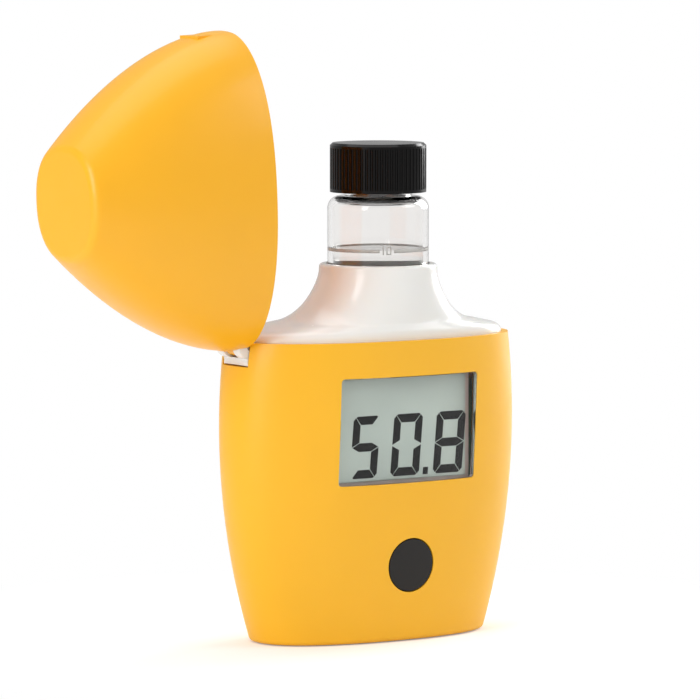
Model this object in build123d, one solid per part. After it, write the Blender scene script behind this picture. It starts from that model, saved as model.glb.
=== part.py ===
from build123d import *
import math
import os

os.makedirs("parts", exist_ok=True)

# A pocket colorimeter: a tall oval body with a display and a push button, a flared
# collar that holds a round glass cell, and a domed lid that swings on the left end.
# Frame: origin at the centre of the base, +X right, +Y back, +Z up. Millimetres.

# ---- clearances
moving_gap = 0.3
seat_gap = 0.1
pin_gap = 0.04
glue_gap = 0.12

# ---- body shell
body_height = 73.3
base_half_width = 31.9
base_half_depth = 15.9
rim_half_width = 38.2
rim_half_depth = 21.1
side_bulge = 4.5
front_bulge = 0.2
section_power = 2.27
shell_wall = 2.2
base_edge_radius = 1.2
ledge_depth = 2.5

# ---- window and display
window_width = 39.6
window_height = 26.0
window_drop = 21.6
window_corner = 0.9
pane_inset = 0.1
pane_lip = 0.6
pane_lip_thickness = 0.7
display_margin = 1.2
display_thickness = 1.5
carrier_rim = 1.45
carrier_lip = 1.0
carrier_setback = 0.8
carrier_top_rim = 0.9
strip_thickness = 1.4
strip_height = 2.0
strip_margin = 2.0

# ---- main board
board_thickness = 1.6
board_base_room = 4.7
board_rim_room = 9.9
board_half_width = 22.5
board_bottom_z = 14.0
chip_size = 10.0
chip_thickness = 1.4
chip_z = 46.0
header_width = 16.0

# ---- push button
button_x = 1.2
button_z = 18.5
button_hole_radius = 6.64
button_flange = 1.3
button_flange_thickness = 0.8
button_travel = 0.5
switch_size = 6.0
switch_thickness = 1.0
switch_floor = 0.1
plunger_radius = 1.6
plunger_height = 0.9

# ---- glass cell
cell_x = 0.5
cell_front_room = 0.4
cell_radius = 12.3
cell_wall = 1.3
cell_floor = 1.2
cell_seat_depth = 6.1
cell_height = 40.2
cell_shoulder_radius = 3.0
cell_neck_radius = 8.25
cell_neck_bore = 6.9
fill_height = 26.3
cap_radius = 11.7
cap_height = 11.9
cap_lift = 0.9
cap_roof = 1.9
cap_thread_gap = 0.35
cap_rib_count = 60
cap_rib_depth = 0.35
seal_thickness = 0.8

# ---- inner frame
neck_rise = 17.7
neck_outer_radius = 14.34
neck_lip_radius = 0.85
neck_lip_height = 1.0
frame_wall = 1.4
leg_inner_x = 17.0
leg_width = 5.5
leg_depth = 3.8
leg_rib_depth = 2.1
post_x = 17.5
post_y = 9.5
post_radius = 2.5
ring_height = 2.0
ring_depth = 0.6
ring_drop = 7.0

# ---- hinge
pivot_inset = 1.0
pivot_drop = 0.8
pin_radius = 1.0
knuckle_radius = 2.6
ear_radius = 3.2
arm_width = 3.8
ear_width = 3.0
hinge_block_depth = 4.7
hinge_block_height = 4.7
open_angle = 92.4

# ---- lid
lid_wall = 1.3
lid_roof = 1.3
lid_headroom = 0.4
lid_end_room = 0.3
lid_side_room = 0.4
lid_end_roundness = 1.6
lid_end_fullness = 0.2
lid_side_roundness = 2.4
lid_side_fullness = 0.45
lid_crown_radius = 2.5
tongue_width = 8.0
tongue_thickness = 1.1
tongue_length = 10.0
tongue_reach = 0.8
tongue_inset = 0.7

# ---- measuring optics
holder_wall = 1.1
holder_floor = 1.6
holder_height = 10.0
beam_height = 4.2
beam_radius = 1.2
lamp_radius = 2.5
lamp_length = 8.0
lamp_flange = 0.4
lamp_flange_thickness = 0.8
boss_wall = 0.6
filter_thickness = 1.5
detector_length = 3.2
beam_wall = 2.6
lead_size = 0.5
lead_pitch = 2.54
lamp_lead_step = 0.7
detector_lead_step = 2.6
lead_tail = 0.8
sensor_board_thickness = 1.6
sensor_board_half_width = 26.5
sensor_board_front = -8.0
sensor_board_back = 12.5
board_to_board = 1.5
header_reach = 6.4
header_overlap = 1.0

# ---- battery
battery_x = 13.0
battery_y = 3.5
battery_radius = 5.25
battery_length = 43.7
battery_nub = 0.8
battery_nub_radius = 1.9
tube_wall = 1.0
tube_clearance = 0.3
tube_roof = 1.0
spring_length = 4.1
spring_wire = 0.6
spring_turns = 4
battery_cap_radius = 6.6
battery_cap_head = 0.9
battery_cap_recess = 0.2
battery_cap_plug = 1.9
battery_cap_slot = 1.4
contact_thickness = 0.4

# ---- screws
screw_radius = 1.0
screw_head_radius = 2.0
screw_head_height = 1.1
screw_bite = 6.0
board_screw_z = 32.0

# ---- sizes that follow from the ones above
ledge_z = body_height - ledge_depth
flange_inset = lid_wall + moving_gap
window_centre_z = body_height - window_drop
board_front_y = max(board_base_room - base_half_depth, board_rim_room - rim_half_depth)
board_back_y = board_front_y + board_thickness
boss_half = lamp_radius + seat_gap + boss_wall
pivot_x = pivot_inset - rim_half_width
pivot_z = body_height - pivot_drop
cell_bottom_z = body_height - cell_seat_depth
cell_shoulder_z = cell_bottom_z + cell_height
cap_bottom_z = cell_shoulder_z + cap_lift
neck_top_z = body_height + neck_rise
ring_z = neck_top_z - ring_drop
holder_bore = cell_radius + moving_gap
holder_radius = holder_bore + holder_wall
# the cell stands as far forward as the frame's wall and the ribs in front of the bosses allow
cell_y = max(holder_radius + cell_front_room + frame_wall + flange_inset - rim_half_depth,
             board_back_y + leg_rib_depth + moving_gap + boss_half)
tongue_outer_x = rim_half_width - flange_inset - tongue_inset
holder_bottom_z = cell_bottom_z - holder_floor
sensor_board_bottom_z = holder_bottom_z - sensor_board_thickness
holder_top_z = cell_bottom_z + holder_height
beam_z = cell_bottom_z + beam_height
board_top_z = sensor_board_bottom_z - board_to_board
leg_centre_x = leg_inner_x + leg_width / 2
leg_back_y = board_back_y + leg_depth
cap_top_z = cap_bottom_z + cap_height
glass_top_z = cap_top_z - cap_roof - seal_thickness
lid_rim_z = body_height + moving_gap
lid_top_z = cap_top_z + lid_headroom + lid_roof
crown_half_width = cap_radius + lid_end_room + lid_wall
crown_half_depth = cap_radius + lid_side_room + lid_wall
ear_outer_y = arm_width / 2 + moving_gap + ear_width
notch_half = ear_outer_y + moving_gap
display_width = window_width - 2 * display_margin
display_height = window_height - display_margin
display_back_y = board_front_y - strip_thickness
display_front_y = display_back_y - display_thickness
tube_bore = battery_radius + tube_clearance
tube_radius = tube_bore + tube_wall
battery_bottom_z = battery_cap_recess + battery_cap_head + battery_cap_plug + contact_thickness
battery_top_z = battery_bottom_z + battery_length + battery_nub
tube_top_z = battery_top_z + spring_length + tube_roof
leg_step_z = beam_z - boss_half - moving_gap
leg_rib_back_y = min(leg_back_y, cell_y - boss_half - moving_gap)
button_rear_y = board_front_y - switch_thickness - plunger_height
cutter = 2 * rim_half_width


def block(x0, x1, y0, y1, z0, z1):
    return Pos((x0 + x1) / 2, (y0 + y1) / 2, (z0 + z1) / 2) * Box(x1 - x0, y1 - y0, z1 - z0)


def rod(radius, x, y, z0, z1):
    return Pos(x, y, (z0 + z1) / 2) * Cylinder(radius, z1 - z0)


def rod_x(radius, x0, x1, y, z):
    return Pos((x0 + x1) / 2, y, z) * Rot(0, 90, 0) * Cylinder(radius, x1 - x0)


def rod_y(radius, x, y0, y1, z):
    return Pos(x, (y0 + y1) / 2, z) * Rot(90, 0, 0) * Cylinder(radius, y1 - y0)


def oval_point(a, b, turn):
    power = 2 / section_power
    c = math.cos(turn)
    s = math.sin(turn)
    return (math.copysign(abs(c) ** power, c) * a, math.copysign(abs(s) ** power, s) * b)


def outline(a, b, z, cx=0.0, cy=0.0, circle=0.0, spread=1.0):
    # closed curve at height z: an oval blended with a circle about the cell's axis
    points = []
    for k in range(32):
        turn = 2 * math.pi * k / 32
        x, y = oval_point(a, b, turn)
        x = spread * (x + cx) + (1 - spread) * (cell_x + circle * math.cos(turn))
        y = spread * (y + cy) + (1 - spread) * (cell_y + circle * math.sin(turn))
        points.append((x, y, z))
    return Wire([Edge.make_spline([Vector(*p) for p in points], periodic=True)])


def body_half_sizes(z):
    t = z / body_height
    a = base_half_width + (rim_half_width - base_half_width) * t + 4 * side_bulge * t * (1 - t)
    b = base_half_depth + (rim_half_depth - base_half_depth) * t + 4 * front_bulge * t * (1 - t)
    return a, b


def body_block(inset, z0, z1, steps=6):
    wires = []
    for k in range(steps + 1):
        z = z0 + (z1 - z0) * k / steps
        a, b = body_half_sizes(z)
        wires.append(outline(a - inset, b - inset, z))
    return Solid.make_loft(wires, False)


def window_prism(grow, corner):
    sketch = RectangleRounded(window_width + 2 * grow, window_height + 2 * grow, corner)
    plane = Plane((0, 0, window_centre_z), x_dir=(1, 0, 0), z_dir=(0, -1, 0))
    return extrude(plane * sketch, amount=rim_half_depth + 5)


def base_screw_places():
    return [(side * leg_centre_x, board_back_y + leg_depth / 2) for side in (-1, 1)]


def post_places():
    return [(cell_x + side * post_x, post_y) for side in (-1, 1)]


def board_screw_places():
    return [(side * leg_centre_x, board_screw_z) for side in (-1, 1)]


def body_shell():
    outside = body_block(0, 0, body_height)
    foot = [e for e in outside.edges() if e.center().Z < 0.01]
    outside = fillet(foot, base_edge_radius)
    shell = outside - body_block(shell_wall, shell_wall, body_height + 1)
    shell -= body_block(flange_inset - seat_gap, ledge_z, body_height + 1, 2)
    shell -= window_prism(0, window_corner)
    shell -= rod_y(button_hole_radius, button_x, -cutter, 0, button_z)
    shell -= block(-cutter, pivot_x + hinge_block_depth, -notch_half, notch_half,
                   pivot_z - hinge_block_height - moving_gap, body_height + 1)
    for x, y in base_screw_places():
        shell -= rod(screw_radius + seat_gap, x, y, -1, shell_wall + 1)
        shell -= rod(screw_head_radius + seat_gap, x, y, -1, screw_head_height + seat_gap)
    recess_top = battery_cap_recess + battery_cap_head + seat_gap
    shell -= rod(battery_cap_radius + moving_gap, battery_x, battery_y, -1, recess_top)
    shell -= rod(battery_radius + moving_gap, battery_x, battery_y, -1, shell_wall + 1)
    return shell


flare_stations = [
    (0.0, 1.0), (0.06, 0.985), (0.115, 0.93), (0.155, 0.82), (0.19, 0.68), (0.235, 0.5),
    (0.34, 0.31), (0.49, 0.18), (0.70, 0.07), (0.85, 0.02), (1.0, 0.0),
]


def frame_hull():
    # flange under the lid and a trumpet that rises from it to the collar
    flare_top = neck_top_z - neck_lip_height
    rise = flare_top - body_height
    wires = []
    for height, spread in flare_stations:
        wires.append(outline(rim_half_width - flange_inset, rim_half_depth - flange_inset,
                             body_height + rise * height, 0, 0, neck_outer_radius, spread))
    hull = Solid.make_loft(wires, False)
    a = rim_half_width - flange_inset
    b = rim_half_depth - flange_inset
    hull += extrude(make_face(outline(a, b, ledge_z)), amount=ledge_depth, dir=(0, 0, 1))
    return hull + collar_lip(a, b, flare_top)


def collar_lip(a, b, low):
    # straight start, then a quarter round
    wires = [outline(a, b, low, 0, 0, neck_outer_radius, 0)]
    for k in range(1, 7):
        turn = math.pi / 2 * k / 6
        radius = neck_outer_radius - neck_lip_radius * (1 - math.cos(turn))
        height = neck_top_z - neck_lip_radius * (1 - math.sin(turn))
        wires.append(outline(a, b, height, 0, 0, radius, 0))
    return Solid.make_loft(wires, True)


def frame_hollow():
    rise = neck_top_z - neck_lip_height - body_height
    inset = flange_inset + frame_wall
    wires = [outline(rim_half_width - inset, rim_half_depth - inset, ledge_z - 1)]
    for height, spread in flare_stations[3:6]:
        wires.append(outline(rim_half_width - inset, rim_half_depth - inset,
                             body_height + rise * height - 1.9, 0, 0, holder_radius + 0.2, spread))
    wires.append(outline(rim_half_width - inset, rim_half_depth - inset, holder_top_z,
                         0, 0, holder_radius + 0.2, 0.27))
    return Solid.make_loft(wires, False)


def inner_frame():
    hull = frame_hull()
    frame = hull - rod(holder_bore, cell_x, cell_y, ledge_z - 5, neck_top_z + 1)
    frame -= frame_hollow()
    frame -= rod(holder_bore + ring_depth, cell_x, cell_y, ring_z, ring_z + ring_height)
    tall = neck_top_z
    added = []
    for side in (-1, 1):
        x0 = side * leg_centre_x - leg_width / 2
        added.append(block(x0, x0 + leg_width, board_back_y, leg_back_y, shell_wall, leg_step_z))
        added.append(block(x0, x0 + leg_width, board_back_y, leg_rib_back_y, leg_step_z, tall))
    for x, y in post_places():
        added.append(rod(post_radius, x, y, holder_bottom_z, tall))
    inside = body_block(shell_wall + seat_gap, shell_wall, ledge_z)
    for piece in added:
        frame += piece & inside
        frame += piece & hull
    frame += hinge_block()
    slot = arm_width / 2 + moving_gap
    frame -= block(pivot_x - 8, pivot_x + knuckle_radius + moving_gap, -slot, slot,
                   pivot_z - knuckle_radius - moving_gap, pivot_z + 8)
    frame -= rod_y(pin_radius + pin_gap, pivot_x, -notch_half, notch_half, pivot_z)
    side = tongue_width / 2 + moving_gap
    frame -= block(tongue_outer_x - tongue_thickness - 2 * moving_gap, rim_half_width, -side, side,
                   body_height - tongue_reach - 2 * moving_gap, neck_top_z)
    pilot = screw_radius + pin_gap
    for x, y in base_screw_places():
        frame -= rod(pilot, x, y, 0, shell_wall + screw_bite + 1)
    for x, y in post_places():
        frame -= rod(pilot, x, y, holder_bottom_z - 1, holder_bottom_z + screw_bite + 1)
    for x, z in board_screw_places():
        frame -= rod_y(pilot, x, board_back_y - 1, leg_back_y + 1, z)
    return frame


def hinge_block():
    low = pivot_z - hinge_block_height
    body = block(pivot_x - ear_radius + 2.4, pivot_x + hinge_block_depth - moving_gap,
                 -ear_outer_y, ear_outer_y, low, pivot_z)
    body += rod_y(ear_radius, pivot_x, -ear_outer_y, ear_outer_y, pivot_z)
    return body


def lid_block(inset, z0, z1, steps=12):
    wires = []
    for k in range(steps + 1):
        height = k / steps
        swell = height * (1 - height)
        along = 1 - height ** lid_end_roundness + lid_end_fullness * swell
        across = 1 - height ** lid_side_roundness + lid_side_fullness * swell
        a = crown_half_width + (rim_half_width - crown_half_width) * along - inset
        b = crown_half_depth + (rim_half_depth - crown_half_depth) * across - inset
        shift = height ** 2
        wires.append(outline(a, b, z0 + (z1 - z0) * height, cell_x * shift, cell_y * shift))
    return Solid.make_loft(wires, False)


def lid():
    cover = lid_block(0, lid_rim_z, lid_top_z)
    crown = [e for e in cover.edges() if e.center().Z > lid_top_z - 0.1]
    cover = fillet(crown, lid_crown_radius)
    cover -= lid_block(lid_wall, lid_rim_z, lid_top_z - lid_roof)
    cover -= extrude(make_face(outline(rim_half_width - lid_wall, rim_half_depth - lid_wall,
                                       lid_rim_z - 1)), amount=1.01, dir=(0, 0, 1))
    cover -= rod_y(ear_radius + moving_gap, pivot_x, -notch_half, notch_half, pivot_z)
    half = arm_width / 2
    edge = -rim_half_width
    cover += block(edge, edge + lid_wall, -half, half, pivot_z, pivot_z + ear_radius + 2)
    cover += rod_y(knuckle_radius, pivot_x, -half, half, pivot_z)
    outer = tongue_outer_x
    inner = outer - tongue_thickness
    side = tongue_width / 2
    cover += block(inner, outer, -side, side, body_height - tongue_reach, body_height + tongue_length)
    cover += block(inner, rim_half_width - lid_wall / 2, -side, side,
                   lid_rim_z + 0.4, body_height + tongue_length)
    cover -= rod_y(pin_radius + pin_gap, pivot_x, -half, half, pivot_z)
    return cover.rotate(Axis((pivot_x, 0, pivot_z), (0, -1, 0)), open_angle)


def hinge_pin():
    return rod_y(pin_radius, pivot_x, -ear_outer_y, ear_outer_y, pivot_z)


def window_pane():
    back = shell_wall + pane_lip_thickness
    low = window_centre_z - window_height
    skin = body_block(pane_inset, low, body_height) - body_block(back, low, body_height)
    lip = body_block(shell_wall + seat_gap, low, body_height) - body_block(back, low, body_height)
    pane = skin & window_prism(-glue_gap, window_corner)
    pane += lip & window_prism(pane_lip, window_corner)
    return pane


def display_panel():
    return block(-display_width / 2, display_width / 2, display_front_y, display_back_y,
                 window_centre_z - display_height / 2, window_centre_z + display_height / 2)


def display_carrier():
    w = display_width / 2
    h = display_height / 2
    front = display_front_y + carrier_setback
    z = window_centre_z
    ring = block(-w - carrier_rim, w + carrier_rim, front, board_front_y,
                 z - h - carrier_rim, z + h + carrier_top_rim)
    ring -= block(-w - seat_gap, w + seat_gap, front - 1, display_back_y,
                  z - h - seat_gap, z + h + seat_gap)
    ring -= block(-w + carrier_lip, w - carrier_lip, front - 1, board_front_y + 1,
                  z - h + carrier_lip, z + h - carrier_lip)
    return ring


def contact_strips():
    strips = []
    length = display_width / 2 - carrier_lip - 1
    for side in (-1, 1):
        z = window_centre_z + side * (display_height / 2 - strip_margin - carrier_lip)
        strips.append(block(-length, length, display_back_y, board_front_y,
                            z - strip_height / 2, z + strip_height / 2))
    return Compound(children=strips)


def main_board():
    board = block(-board_half_width, board_half_width, board_front_y, board_back_y,
                  board_bottom_z, board_top_z)
    for x, z in board_screw_places():
        board -= rod_y(screw_radius + seat_gap, x, board_front_y - 1, board_back_y + 1, z)
    return board


def controller_chip():
    half = chip_size / 2
    return block(-half, half, board_back_y, board_back_y + chip_thickness, chip_z - half, chip_z + half)


def pin_header():
    half = header_width / 2
    return block(-half, half, board_back_y, board_back_y + header_reach,
                 board_top_z - header_overlap, sensor_board_bottom_z)


def button_cap():
    radius = button_hole_radius - moving_gap
    rear = button_rear_y
    tall = 2 * button_hole_radius
    cap = rod_y(radius, button_x, -cutter, rear, button_z)
    cap &= body_block(seat_gap / 2, button_z - tall, button_z + tall, 4)
    cap += rod_y(button_hole_radius + button_flange, button_x, rear - button_flange_thickness,
                 rear, button_z)
    return cap


def switch_body():
    half = switch_size / 2
    front = board_front_y - switch_thickness
    body = block(button_x - half, button_x + half, front, board_front_y, button_z - half, button_z + half)
    return body - rod_y(plunger_radius + moving_gap, button_x, front - 1, board_front_y - switch_floor,
                        button_z)


def switch_plunger():
    rear = board_front_y - 2 * switch_floor - button_travel
    return rod_y(plunger_radius, button_x, button_rear_y, rear, button_z)


def cell_holder():
    x = cell_x
    y = cell_y
    left = x - lamp_tail()
    right = x + detector_end()
    body = rod(holder_radius, x, y, holder_bottom_z, holder_top_z)
    body += block(left, x, y - boss_half, y + boss_half, beam_z - boss_half, beam_z + boss_half)
    body += block(x, right, y - boss_half, y + boss_half, beam_z - boss_half, beam_z + boss_half)
    body -= rod(holder_bore, x, y, cell_bottom_z, holder_top_z + 1)
    body -= rod_x(beam_radius, x - holder_bore - beam_wall - 1, x + holder_bore + beam_wall + 1, y, beam_z)
    pocket = lamp_radius + seat_gap
    body -= rod_x(pocket, left - 1, x - holder_bore - beam_wall, y, beam_z)
    body -= rod_x(pocket, x + holder_bore + beam_wall, right + 1, y, beam_z)
    return body


def lamp_tail():
    return holder_bore + beam_wall + lamp_length


def detector_end():
    return holder_bore + beam_wall + filter_thickness + seat_gap + detector_length


def lamp_lead_x():
    return cell_x - lamp_tail() - lamp_flange_thickness - lamp_lead_step


def detector_lead_x():
    return cell_x + detector_end() + lamp_flange_thickness + detector_lead_step


def leads(x, bend):
    # two wires that run out along X from x to the bend, then down through the board
    pieces = []
    half = lead_size / 2
    direction = math.copysign(1, bend - x)
    for side in (-1, 1):
        y = cell_y + side * lead_pitch / 2
        low = min(x, bend + direction * half)
        high = max(x, bend + direction * half)
        pieces.append(block(low, high, y - half, y + half, beam_z - half, beam_z + half))
        pieces.append(block(bend - half, bend + half, y - half, y + half,
                            sensor_board_bottom_z - lead_tail, beam_z + half))
    return pieces


def lamp():
    back = cell_x - lamp_tail()
    tip = back + lamp_length - seat_gap
    body = rod_x(lamp_radius, back - 0.01, tip - lamp_radius, cell_y, beam_z)
    body += Pos(tip - lamp_radius, cell_y, beam_z) * Sphere(lamp_radius)
    body += rod_x(lamp_radius + lamp_flange, back - lamp_flange_thickness, back, cell_y, beam_z)
    for piece in leads(back - lamp_flange_thickness, lamp_lead_x()):
        body += piece
    return body


def colour_filter():
    x = cell_x + holder_bore + beam_wall
    return rod_x(lamp_radius, x, x + filter_thickness, cell_y, beam_z)


def photodiode():
    end = cell_x + detector_end()
    body = rod_x(lamp_radius, end - detector_length, end, cell_y, beam_z)
    body += rod_x(lamp_radius + lamp_flange, end, end + lamp_flange_thickness, cell_y, beam_z)
    for piece in leads(end + lamp_flange_thickness, detector_lead_x()):
        body += piece
    return body


def sensor_board():
    board = block(-sensor_board_half_width, sensor_board_half_width, sensor_board_front,
                  sensor_board_back, sensor_board_bottom_z, holder_bottom_z)
    notch = leg_width / 2 + moving_gap
    for side in (-1, 1):
        x = side * leg_centre_x
        board -= block(x - notch, x + notch, sensor_board_front - 1, leg_back_y + moving_gap,
                       sensor_board_bottom_z - 1, holder_bottom_z + 1)
    for x, y in post_places():
        board -= rod(screw_radius + seat_gap, x, y, sensor_board_bottom_z - 1, holder_bottom_z + 1)
    for x in (lamp_lead_x(), detector_lead_x()):
        for side in (-1, 1):
            board -= rod(lead_size, x, cell_y + side * lead_pitch / 2,
                         sensor_board_bottom_z - 1, holder_bottom_z + 1)
    return board


def wiper_ring():
    ring = rod(holder_bore + ring_depth - 0.02, cell_x, cell_y, ring_z + 0.05, ring_z + ring_height - 0.05)
    return ring - rod(cell_radius + 0.06, cell_x, cell_y, ring_z - 1, ring_z + ring_height + 1)


def turned(profile, x, y):
    return Pos(x, y, 0) * revolve(Plane.XZ * profile, Axis.Z)


def glass_profile():
    r = cell_radius
    s = cell_shoulder_radius
    top = cell_shoulder_z
    neck = cell_neck_radius
    inner = r - cell_wall
    with BuildSketch() as sketch:
        with BuildLine():
            Line((0, cell_bottom_z), (r - 1, cell_bottom_z))
            RadiusArc((r - 1, cell_bottom_z), (r, cell_bottom_z + 1), -1)
            Line((r, cell_bottom_z + 1), (r, top - s))
            RadiusArc((r, top - s), (r - s, top), -s)
            Line((r - s, top), (neck, top))
            Line((neck, top), (neck, glass_top_z))
            Line((neck, glass_top_z), (cell_neck_bore, glass_top_z))
            Line((cell_neck_bore, glass_top_z), (cell_neck_bore, top - cell_wall))
            Line((cell_neck_bore, top - cell_wall), (r - s, top - cell_wall))
            RadiusArc((r - s, top - cell_wall), (inner, top - s), s - cell_wall)
            Line((inner, top - s), (inner, cell_bottom_z + cell_floor))
            Line((inner, cell_bottom_z + cell_floor), (0, cell_bottom_z + cell_floor))
            Line((0, cell_bottom_z + cell_floor), (0, cell_bottom_z))
        make_face()
    return sketch.sketch


def glass_cell():
    return turned(glass_profile(), cell_x, cell_y)


def sample_liquid():
    low = cell_bottom_z + cell_floor
    return rod(cell_radius - cell_wall - 0.02, cell_x, cell_y, low, low + fill_height)


def screw_cap():
    cap = rod(cap_radius, cell_x, cell_y, cap_bottom_z, cap_top_z)
    cap = chamfer(cap.edges().sort_by(Axis.Z)[-1:], 0.6)
    cap -= rod(cell_neck_radius + cap_thread_gap, cell_x, cell_y, cap_bottom_z - 1, cap_top_z - cap_roof)
    grooves = []
    for k in range(cap_rib_count):
        turn = 2 * math.pi * k / cap_rib_count
        grooves.append(rod(cap_rib_depth, cell_x + cap_radius * math.cos(turn),
                           cell_y + cap_radius * math.sin(turn), cap_bottom_z + 0.8, cap_top_z - 1.2))
    return cap - grooves


def cap_seal():
    return rod(cell_neck_radius, cell_x, cell_y, glass_top_z, glass_top_z + seal_thickness)


def battery_tube():
    tube = rod(tube_radius, battery_x, battery_y, shell_wall, tube_top_z)
    return tube - rod(tube_bore, battery_x, battery_y, shell_wall - 1, tube_top_z - tube_roof)


def battery():
    cell = rod(battery_radius, battery_x, battery_y, battery_bottom_z + battery_nub, battery_top_z)
    return cell + rod(battery_nub_radius, battery_x, battery_y, battery_bottom_z,
                      battery_bottom_z + battery_nub + 0.01)


def battery_spring():
    radius = battery_radius - 1.5
    height = spring_length - spring_wire
    path = Helix(height / spring_turns, height, radius)
    start = path @ 0
    wire = sweep(Plane(start, z_dir=path % 0) * Circle(spring_wire / 2), path=path)
    coil = Pos(battery_x, battery_y, battery_top_z + spring_wire / 2) * wire
    return coil


def battery_cap():
    low = battery_cap_recess
    head_top = low + battery_cap_head
    plug_top = head_top + battery_cap_plug
    cap = rod(battery_cap_radius, battery_x, battery_y, low, head_top)
    cap += rod(battery_radius, battery_x, battery_y, low, plug_top)
    slot = battery_cap_slot / 2
    cap -= block(battery_x - battery_radius, battery_x + battery_radius,
                 battery_y - slot, battery_y + slot, low - 1, head_top - 0.1)
    return cap


def contact_disc():
    low = battery_bottom_z - contact_thickness
    return rod(battery_radius - 0.6, battery_x, battery_y, low, battery_bottom_z)


def base_screws():
    screws = []
    for x, y in base_screw_places():
        screws.append(rod(screw_head_radius, x, y, 0.1, screw_head_height)
                      + rod(screw_radius, x, y, 0.2, shell_wall + screw_bite))
    return Compound(children=screws)


def board_screws():
    screws = []
    for x, z in board_screw_places():
        screws.append(rod_y(screw_head_radius, x, board_front_y - screw_head_height, board_front_y, z)
                      + rod_y(screw_radius, x, board_front_y - 0.5, leg_back_y, z))
    return Compound(children=screws)


def sensor_screws():
    screws = []
    for x, y in post_places():
        head_low = sensor_board_bottom_z - screw_head_height
        screws.append(rod(screw_head_radius, x, y, head_low, sensor_board_bottom_z)
                      + rod(screw_radius, x, y, head_low + 0.5, holder_bottom_z + screw_bite))
    return Compound(children=screws)


pieces = {
    "body_shell": body_shell,
    "inner_frame": inner_frame,
    "lid": lid,
    "hinge_pin": hinge_pin,
    "window_pane": window_pane,
    "display_panel": display_panel,
    "display_carrier": display_carrier,
    "contact_strips": contact_strips,
    "main_board": main_board,
    "controller_chip": controller_chip,
    "pin_header": pin_header,
    "button_cap": button_cap,
    "switch_body": switch_body,
    "switch_plunger": switch_plunger,
    "cell_holder": cell_holder,
    "lamp": lamp,
    "colour_filter": colour_filter,
    "photodiode": photodiode,
    "sensor_board": sensor_board,
    "wiper_ring": wiper_ring,
    "glass_cell": glass_cell,
    "sample_liquid": sample_liquid,
    "screw_cap": screw_cap,
    "cap_seal": cap_seal,
    "battery_tube": battery_tube,
    "battery": battery,
    "battery_spring": battery_spring,
    "battery_cap": battery_cap,
    "contact_disc": contact_disc,
    "base_screws": base_screws,
    "board_screws": board_screws,
    "sensor_screws": sensor_screws,
}

for name, make in pieces.items():
    export_step(make(), "parts/" + name + ".step")
    print(name)
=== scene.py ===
"""Portable colorimeter: finishes, display reading, fill mark, camera and studio."""
import math

import bmesh
import bpy
from mathutils import Matrix, Vector


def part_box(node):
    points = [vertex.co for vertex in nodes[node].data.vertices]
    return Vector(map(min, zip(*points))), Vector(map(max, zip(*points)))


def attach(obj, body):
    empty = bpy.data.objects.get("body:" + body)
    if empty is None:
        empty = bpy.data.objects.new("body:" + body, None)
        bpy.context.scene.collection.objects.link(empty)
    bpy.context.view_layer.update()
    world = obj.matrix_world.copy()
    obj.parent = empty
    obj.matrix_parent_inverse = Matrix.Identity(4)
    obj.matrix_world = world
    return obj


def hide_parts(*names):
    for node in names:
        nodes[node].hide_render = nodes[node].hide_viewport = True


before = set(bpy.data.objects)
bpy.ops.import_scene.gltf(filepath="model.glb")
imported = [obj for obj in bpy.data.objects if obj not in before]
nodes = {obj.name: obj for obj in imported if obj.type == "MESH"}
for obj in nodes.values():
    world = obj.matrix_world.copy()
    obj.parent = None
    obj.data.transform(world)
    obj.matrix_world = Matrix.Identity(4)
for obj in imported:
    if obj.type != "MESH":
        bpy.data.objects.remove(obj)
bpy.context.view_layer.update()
MM = 0.001


# ---- materials -------------------------------------------------------------
def srgb(r, g, b):
    """A linear colour from its 0 to 255 screen values."""
    out = []
    for v in (r, g, b):
        v = v / 255.0
        out.append(v / 12.92 if v <= 0.04045 else ((v + 0.055) / 1.055) ** 2.4)
    return (out[0], out[1], out[2], 1.0)


def scaled(colour, factor):
    return tuple(c * factor for c in colour[:3]) + (1.0,)


class Mat:
    """A small builder for node materials. Every texture runs on object coordinates."""

    def __init__(self, name):
        self.mat = bpy.data.materials.new(name)
        self.mat.use_nodes = True
        self.tree = self.mat.node_tree
        self.bsdf = self.tree.nodes["Principled BSDF"]

    def node(self, kind):
        return self.tree.nodes.new(kind)

    def link(self, a, b):
        self.tree.links.new(a, b)

    def set(self, **values):
        """Constant values, with the socket's name written with underscores."""
        for key, value in values.items():
            self.bsdf.inputs[key.replace("_", " ")].default_value = value

    def noise(self, scale, detail=3.0, rough=0.5, stretch=None):
        coords = self.node("ShaderNodeTexCoord")
        tex = self.node("ShaderNodeTexNoise")
        tex.inputs["Scale"].default_value = scale
        tex.inputs["Detail"].default_value = detail
        tex.inputs["Roughness"].default_value = rough
        if stretch:
            mapping = self.node("ShaderNodeMapping")
            mapping.inputs["Scale"].default_value = stretch
            self.link(coords.outputs["Object"], mapping.inputs["Vector"])
            self.link(mapping.outputs["Vector"], tex.inputs["Vector"])
        else:
            self.link(coords.outputs["Object"], tex.inputs["Vector"])
        return tex.outputs["Fac"]

    def vary(self, fac, low, high):
        """The base colour, moving between two shades."""
        ramp = self.node("ShaderNodeValToRGB")
        ramp.color_ramp.elements[0].position = 0.3
        ramp.color_ramp.elements[1].position = 0.7
        ramp.color_ramp.elements[0].color = low
        ramp.color_ramp.elements[1].color = high
        self.link(fac, ramp.inputs["Fac"])
        self.link(ramp.outputs["Color"], self.bsdf.inputs["Base Color"])

    def rough(self, fac, low, high):
        m = self.node("ShaderNodeMapRange")
        m.inputs["To Min"].default_value = low
        m.inputs["To Max"].default_value = high
        self.link(fac, m.inputs["Value"])
        self.link(m.outputs["Result"], self.bsdf.inputs["Roughness"])

    def bump(self, fac, strength, distance):
        b = self.node("ShaderNodeBump")
        b.inputs["Strength"].default_value = strength
        b.inputs["Distance"].default_value = distance
        self.link(fac, b.inputs["Height"])
        self.link(b.outputs["Normal"], self.bsdf.inputs["Normal"])


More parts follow.
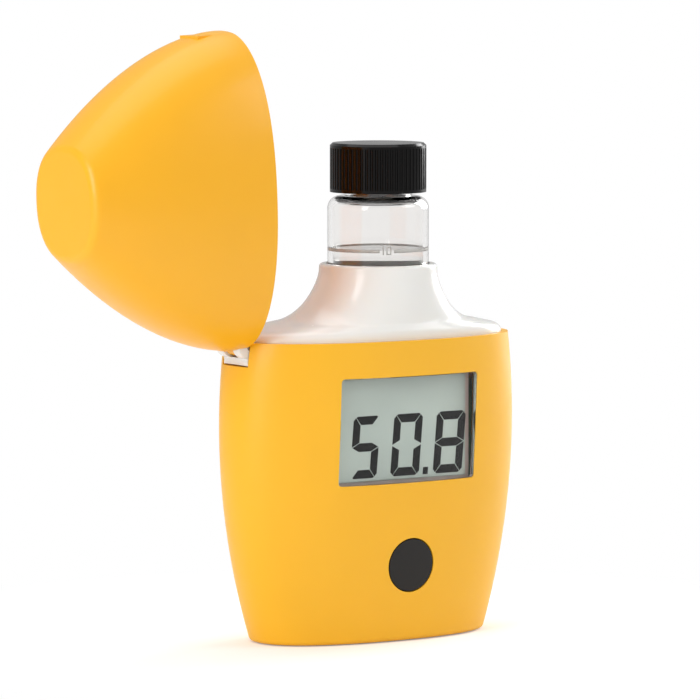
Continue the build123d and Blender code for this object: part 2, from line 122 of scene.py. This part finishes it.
def moulded(name, colour, darker=0.94, low=0.3, high=0.42, grain=0.06, coat=0.0,
            subsurface=0.0, specular=0.5):
    """Moulded plastic or rubber: broad shading, uneven gloss and a fine grain."""
    m = Mat(name)
    m.vary(m.noise(35.0, 2.0), scaled(colour, darker), colour)
    fine = m.noise(2600.0, 2.0)
    m.rough(m.noise(160.0, 4.0), low, high)
    m.bump(fine, grain, 0.00005)
    m.set(Coat_Weight=coat, Coat_Roughness=0.12, Specular_IOR_Level=specular)
    if subsurface:
        m.set(Subsurface_Weight=subsurface, Subsurface_Radius=(1.0, 0.5, 0.2),
              Subsurface_Scale=0.002)
    return m.mat


def metal(name, colour):
    m = Mat(name)
    fac = m.noise(900.0, 4.0, 0.6, (1, 1, 1))
    m.vary(fac, scaled(colour, 0.85), colour)
    m.rough(fac, 0.22, 0.4)
    m.bump(fac, 0.05, 0.00002)
    m.set(Metallic=1.0)
    return m.mat


def clear(name, ior, tint, rough=0.0):
    """Glass, clear plastic or water."""
    m = Mat(name)
    m.set(Roughness=rough, IOR=ior, Transmission_Weight=1.0)
    m.vary(m.noise(60.0, 2.0), scaled(tint, 0.985), tint)
    m.bump(m.noise(240.0, 2.0), 0.01, 0.00002)
    return m.mat


def board(name):
    """Green solder mask over raised tracks."""
    m = Mat(name)
    m.vary(m.noise(420.0, 6.0), srgb(16, 74, 36), srgb(24, 104, 52))
    m.rough(m.noise(300.0, 3.0), 0.3, 0.45)
    tracks = m.node("ShaderNodeTexBrick")
    tracks.inputs["Scale"].default_value = 420.0
    coords = m.node("ShaderNodeTexCoord")
    m.link(coords.outputs["Object"], tracks.inputs["Vector"])
    m.bump(tracks.outputs["Fac"], 0.3, 0.00004)
    return m.mat


satin = {"darker": 0.965, "low": 0.34, "high": 0.46, "grain": 0.05, "coat": 0.12,
         "subsurface": 0.06}
shell_yellow = moulded("shell_yellow", srgb(255, 189, 20), **satin)
lid_yellow = moulded("lid_yellow", srgb(255, 184, 20), **satin)
frame_white = moulded("frame_white", srgb(243, 242, 238), darker=0.985, low=0.2, high=0.3,
                      grain=0.03, coat=0.4, subsurface=0.05)
black_gloss = moulded("black_gloss", srgb(9, 8, 8), darker=0.8, low=0.12, high=0.22,
                      grain=0.03, coat=0.1, specular=0.2)
button_dark = moulded("button_dark", srgb(26, 23, 21), darker=0.88, grain=0.08, specular=0.35)
matte_black = moulded("matte_black", srgb(26, 26, 27), darker=0.8, low=0.5, high=0.65, grain=0.1)
grey_white = moulded("grey_white", srgb(214, 212, 206), darker=0.95, low=0.4, high=0.55)
warm_grey = moulded("warm_grey", srgb(226, 212, 206), darker=0.95, low=0.35, high=0.5,
                    grain=0.05)
rubber = moulded("rubber", srgb(38, 38, 40), darker=0.85, low=0.6, high=0.8, grain=0.15)
jacket = moulded("jacket", srgb(62, 70, 82), darker=0.9, low=0.25, high=0.4, grain=0.03,
                 coat=0.3)
steel = metal("steel", srgb(196, 196, 198))
brass = metal("brass", srgb(214, 196, 140))
glass = clear("cell_glass", 1.49, (0.93, 0.92, 0.91, 1.0))
liquid = clear("sample", 1.33, (0.99, 0.99, 0.985, 1.0))
pane = clear("pane", 1.28, (0.985, 0.985, 0.985, 1.0))
filter_blue = clear("filter", 1.5, (0.25, 0.4, 0.95, 1.0))
epoxy = clear("epoxy", 1.5, (0.9, 0.94, 1.0, 1.0), 0.05)
circuit = board("circuit")

finish_of = {
    "body_shell": shell_yellow, "inner_frame": frame_white, "lid": lid_yellow, "hinge_pin": steel,
    "window_pane": pane, "display_panel": grey_white, "display_carrier": warm_grey,
    "contact_strips": rubber, "main_board": circuit, "controller_chip": matte_black,
    "pin_header": matte_black, "button_cap": button_dark, "switch_body": matte_black,
    "switch_plunger": grey_white, "cell_holder": matte_black, "lamp": epoxy,
    "colour_filter": filter_blue, "photodiode": steel, "sensor_board": circuit,
    "wiper_ring": rubber, "glass_cell": glass, "sample_liquid": liquid, "screw_cap": black_gloss,
    "cap_seal": grey_white, "battery_tube": grey_white, "battery": jacket,
    "battery_spring": steel, "battery_cap": shell_yellow, "contact_disc": brass,
    "base_screws": steel, "board_screws": steel, "sensor_screws": steel,
}
for name, mat in finish_of.items():
    obj = nodes[name]
    obj.data.materials.clear()
    obj.data.materials.append(mat)


# ---- mesh helpers ----------------------------------------------------------
def add_mesh(name, bm, mat, body, smooth):
    """A new object from a bmesh, riding on a body where one is named."""
    mesh = bpy.data.meshes.new(name)
    bmesh.ops.recalc_face_normals(bm, faces=bm.faces)
    bm.to_mesh(mesh)
    bm.free()
    obj = bpy.data.objects.new(name, mesh)
    bpy.context.scene.collection.objects.link(obj)
    mesh.materials.append(mat)
    for poly in mesh.polygons:
        poly.use_smooth = smooth
    if body:
        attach(obj, body)
    return obj


def prism(bm, points, y0, y1):
    """A flat outline in X and Z, given depth along Y."""
    near = [bm.verts.new((x, y0, z)) for x, z in points]
    far = [bm.verts.new((x, y1, z)) for x, z in points]
    bm.faces.new(near)
    bm.faces.new(far[::-1])
    count = len(points)
    for k in range(count):
        bm.faces.new((near[k], near[(k + 1) % count], far[(k + 1) % count], far[k]))


def band(bm, centre, radius, depth, heights, turns, steps):
    """An open band on an upright cylinder, in millimetres, between two turns."""
    z0, z1 = heights
    rings = []
    for k in range(steps + 1):
        turn = turns[0] + (turns[1] - turns[0]) * k / steps
        c, s = math.cos(turn), math.sin(turn)
        ring = []
        for r, z in ((radius - depth, z0), (radius, z0), (radius, z1), (radius - depth, z1)):
            ring.append(bm.verts.new(((centre[0] + r * c) * MM, (centre[1] + r * s) * MM, z * MM)))
        rings.append(ring)
    for a, b in zip(rings, rings[1:]):
        for j in range(4):
            bm.faces.new((a[j], b[j], b[(j + 1) % 4], a[(j + 1) % 4]))
    bm.faces.new(rings[0])
    bm.faces.new(rings[-1][::-1])


# ---- display: a grey-green panel, a hair thinner than the solid one ---------
panel_setback = 0.06 * MM
panel_bevel = 0.15 * MM
low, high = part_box("display_panel")
front_y = low[1]
panel_mat = Mat("display_grey")
panel_mat.vary(panel_mat.noise(60.0, 2.0), srgb(196, 210, 202), srgb(206, 220, 211))
panel_mat.rough(panel_mat.noise(300.0, 3.0), 0.35, 0.5)
panel_mat.bump(panel_mat.noise(3000.0, 2.0), 0.05, 0.00003)
bm = bmesh.new()
bmesh.ops.create_cube(bm, size=1.0)
for v in bm.verts:
    v.co.x = low[0] if v.co.x < 0 else high[0]
    v.co.y = low[1] + panel_setback if v.co.y < 0 else high[1]
    v.co.z = low[2] if v.co.z < 0 else high[2]
bmesh.ops.bevel(bm, geom=list(bm.edges), offset=panel_bevel, segments=2, affect="EDGES")
panel = add_mesh("display_glass", bm, panel_mat.mat, "case", False)
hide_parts("display_panel")

# ---- display: the slanted seven-segment reading, in millimetres -------------
segments = {"0": "abcdef", "5": "afgcd", "8": "abcdefg"}
window_left = -17.8
window_width = 39.6
digit_low = 40.1
digit_high = 55.1
digit_height = digit_high - digit_low
slant = math.tan(math.radians(5.0))
segment_width = 2.05
segment_gap = 0.16
ink_depth = 0.05
# each digit with its left and right end, and the point's left end, as shares of the window
digit_spans = (("5", 0.072, 0.299), ("0", 0.366, 0.609), ("8", 0.679, 0.923))
point_left = 0.605
point_width = 1.45
point_height = 1.75
digit_mat = Mat("display_ink")
digit_mat.vary(digit_mat.noise(400.0, 2.0), srgb(3, 4, 3), srgb(7, 9, 8))
digit_mat.rough(digit_mat.noise(300.0, 2.0), 0.5, 0.6)
digit_mat.set(Specular_IOR_Level=0.05)


def segment_shapes(w, h, t, g):
    """Mitred bars of a seven-segment digit, from its lower left corner.

    w and h are the digit's width and height, t the bars' width and g the gap between them.
    """
    m = h / 2
    half = t / 2
    cut = 0.75
    upper = [(0, m + g), (t, m + half + g), (t, h - t - g), (cut - g, h - 0.3), (0.3, h - cut),
             (0, h - 1.3 * cut)]
    lower = [(x, h - z) for x, z in upper]
    return {
        "a": [(cut + 0.35, h), (w - cut - 0.35, h), (w - cut, h - 0.3), (w - t - g, h - t),
              (t + g, h - t), (cut, h - 0.3)],
        "d": [(cut + 0.35, 0), (cut, 0.3), (t + g, t), (w - t - g, t), (w - cut, 0.3),
              (w - cut - 0.35, 0)],
        "f": upper,
        "e": lower,
        "b": [(w - x, z) for x, z in upper],
        "c": [(w - x, z) for x, z in lower],
        "g": [(g, m), (t, m + half), (w - t, m + half), (w - g, m), (w - t, m - half),
              (t, m - half)],
    }


def print_shape(bm, x0, shape):
    """A slanted flat shape of ink on the display, from its left end."""
    points = [((x0 + x + slant * z) * MM, (digit_low + z) * MM) for x, z in shape]
    prism(bm, points, front_y, front_y + ink_depth * MM)


bm = bmesh.new()
for char, left, right in digit_spans:
    width = window_width * (right - left) - slant * digit_height
    shapes = segment_shapes(width, digit_height, segment_width, segment_gap)
    for key in segments[char]:
        print_shape(bm, window_left + window_width * left, shapes[key])
print_shape(bm, window_left + window_width * point_left,
            ((0, 0), (point_width, 0), (point_width, point_height), (0, point_height)))
digits = add_mesh("display_reading", bm, digit_mat.mat, "case", False)

# ---- cell: the fill line round the glass with its mark, in millimetres ------
cell_low, cell_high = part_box("glass_cell")
cell_x = (cell_low[0] + cell_high[0]) / 2 / MM
cell_y = (cell_low[1] + cell_high[1]) / 2 / MM
cell_r = (cell_high[0] - cell_low[0]) / 2 / MM
fill_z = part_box("sample_liquid")[1][2] / MM
print_mat = Mat("print_white")
print_mat.vary(print_mat.noise(500.0, 3.0), srgb(226, 224, 220), srgb(240, 238, 234))
print_mat.rough(print_mat.noise(300.0, 3.0), 0.4, 0.55)
bm = bmesh.new()
mark_turn = math.radians(-119.0)
stroke = 0.3
print_inset = 0.01
print_depth = 0.05
mark_low = fill_z - 1.0
mark_high = fill_z + 1.0
# the mark's second figure, the line's two ends and its two edges
zero_left = 0.9
zero_right = 2.1
line_left = 2.8
line_right = 2 * math.pi * cell_r - 0.7
line_low = fill_z - 0.55
line_high = fill_z + 0.25


def on_glass(bm, s0, s1, z0, z1):
    """A printed patch between two distances along the glass and two heights."""
    turns = (mark_turn + s0 / cell_r, mark_turn + s1 / cell_r)
    band(bm, (cell_x, cell_y), cell_r - print_inset, print_depth, (z0, z1), turns,
         max(2, int((s1 - s0) * 3)))


on_glass(bm, 0.0, stroke, mark_low, mark_high)
on_glass(bm, zero_left, zero_left + stroke, mark_low, mark_high)
on_glass(bm, zero_right - stroke, zero_right, mark_low, mark_high)
on_glass(bm, zero_left + stroke, zero_right - stroke, mark_low, mark_low + stroke)
on_glass(bm, zero_left + stroke, zero_right - stroke, mark_high - stroke, mark_high)
on_glass(bm, line_left, line_right, line_low, line_high)
ring = add_mesh("fill_line", bm, print_mat.mat, "cell", True)

# ---- camera: fitted to the photograph, in radians and metres ----------------
theta = 0.593
phi = 0.086
distance = 1.3451
shift_right = -0.004156
shift_up = 0.069244
focal_pixels = 5500.0
photo_pixels = 700.0
forward = Vector((math.sin(theta) * math.cos(phi), math.cos(theta) * math.cos(phi),
                  -math.sin(phi)))
right = Vector((math.cos(theta), -math.sin(theta), 0.0))
up = right.cross(forward)
place = -distance * forward + shift_right * right + shift_up * up
camera_data = bpy.data.cameras.new("photo_camera")
camera_data.sensor_width = 36.0
camera_data.lens = focal_pixels * camera_data.sensor_width / photo_pixels
camera_data.clip_start = 0.05
camera_data.clip_end = 20.0
camera = bpy.data.objects.new("photo_camera", camera_data)
bpy.context.scene.collection.objects.link(camera)
turn = Matrix((right, up, -forward)).transposed().to_4x4()
camera.matrix_world = Matrix.Translation(place) @ turn
bpy.context.scene.camera = camera


# ---- stage -----------------------------------------------------------------
def colour_node(tree, kind, colour, strength=None):
    node = tree.nodes.new(kind)
    node.inputs["Color"].default_value = colour
    if strength is not None:
        node.inputs["Strength"].default_value = strength
    return node.outputs[0]


def looked_at(tree):
    """Two factors: 1 on camera rays, and 1 on camera rays and on those through glass."""
    path = tree.nodes.new("ShaderNodeLightPath")
    seen = tree.nodes.new("ShaderNodeMath")
    seen.operation = "MAXIMUM"
    tree.links.new(path.outputs["Is Camera Ray"], seen.inputs[0])
    tree.links.new(path.outputs["Is Transmission Ray"], seen.inputs[1])
    return path.outputs["Is Camera Ray"], seen.outputs[0]


def mixed(tree, fac, first, second):
    mix = tree.nodes.new("ShaderNodeMixShader")
    tree.links.new(fac, mix.inputs["Fac"])
    tree.links.new(first, mix.inputs[1])
    tree.links.new(second, mix.inputs[2])
    return mix.outputs[0]


WHITE = (1, 1, 1, 1)
floor_size = 3.0
floor_drop = 0.0002
fade_start = 0.045
fade_end = 0.13
bm = bmesh.new()
bmesh.ops.create_grid(bm, x_segments=1, y_segments=1, size=floor_size)
floor_mat = bpy.data.materials.new("floor_white")
floor_mat.use_nodes = True
tree = floor_mat.node_tree
tree.nodes.clear()
out = tree.nodes.new("ShaderNodeOutputMaterial")
diffuse = colour_node(tree, "ShaderNodeBsdfDiffuse", (0.9, 0.9, 0.9, 1))
glow = colour_node(tree, "ShaderNodeEmission", WHITE, 0.22)
bright = colour_node(tree, "ShaderNodeEmission", WHITE, 1.0)
camera_ray, seen_ray = looked_at(tree)
# near the object the floor takes its shadow, a little lifted where the camera sees it
both = tree.nodes.new("ShaderNodeAddShader")
tree.links.new(diffuse, both.inputs[0])
tree.links.new(glow, both.inputs[1])
near = mixed(tree, camera_ray, diffuse, both.outputs[0])
# away from the object the floor runs into the white backdrop
where = tree.nodes.new("ShaderNodeTexCoord")
reach = tree.nodes.new("ShaderNodeVectorMath")
reach.operation = "LENGTH"
fade = tree.nodes.new("ShaderNodeMapRange")
fade.interpolation_type = "SMOOTHSTEP"
fade.inputs["From Min"].default_value = fade_start
fade.inputs["From Max"].default_value = fade_end
far = tree.nodes.new("ShaderNodeMath")
far.operation = "MULTIPLY"
tree.links.new(where.outputs["Object"], reach.inputs[0])
tree.links.new(reach.outputs["Value"], fade.inputs["Value"])
tree.links.new(fade.outputs["Result"], far.inputs[0])
tree.links.new(seen_ray, far.inputs[1])
tree.links.new(mixed(tree, far.outputs[0], near, bright), out.inputs["Surface"])
floor = add_mesh("floor", bm, floor_mat, None, False)
floor.location.z = -floor_drop

# the world lights softly, and is plain white where the camera sees it
world = bpy.data.worlds.new("studio")
bpy.context.scene.world = world
world.use_nodes = True
tree = world.node_tree
tree.nodes.clear()
out = tree.nodes.new("ShaderNodeOutputWorld")
soft = colour_node(tree, "ShaderNodeBackground", WHITE, 0.48)
white = colour_node(tree, "ShaderNodeBackground", WHITE, 1.0)
seen_ray = looked_at(tree)[1]
tree.links.new(mixed(tree, seen_ray, soft, white), out.inputs["Surface"])


def softbox(name, location, target_height, size, power):
    """A rectangular light aimed at a height above the middle of the base."""
    data = bpy.data.lights.new(name, "AREA")
    data.shape = "RECTANGLE"
    data.size = size[0]
    data.size_y = size[1]
    data.energy = power
    lamp = bpy.data.objects.new(name, data)
    bpy.context.scene.collection.objects.link(lamp)
    lamp.location = location
    aim = Vector((0.0, 0.0, target_height)) - Vector(location)
    lamp.rotation_euler = aim.to_track_quat("-Z", "Y").to_euler()


softbox("key_right", (0.75, -0.65, 0.7), 0.07, (0.5, 0.6), 2.5)
softbox("fill_left", (-0.9, -0.25, 0.45), 0.08, (0.5, 0.7), 4.8)
softbox("side_right", (0.95, 0.25, 0.4), 0.07, (0.5, 0.7), 6.0)
softbox("top", (0.0, 0.2, 0.95), 0.08, (0.8, 0.8), 2.8)

bpy.context.scene.view_settings.view_transform = "Standard"
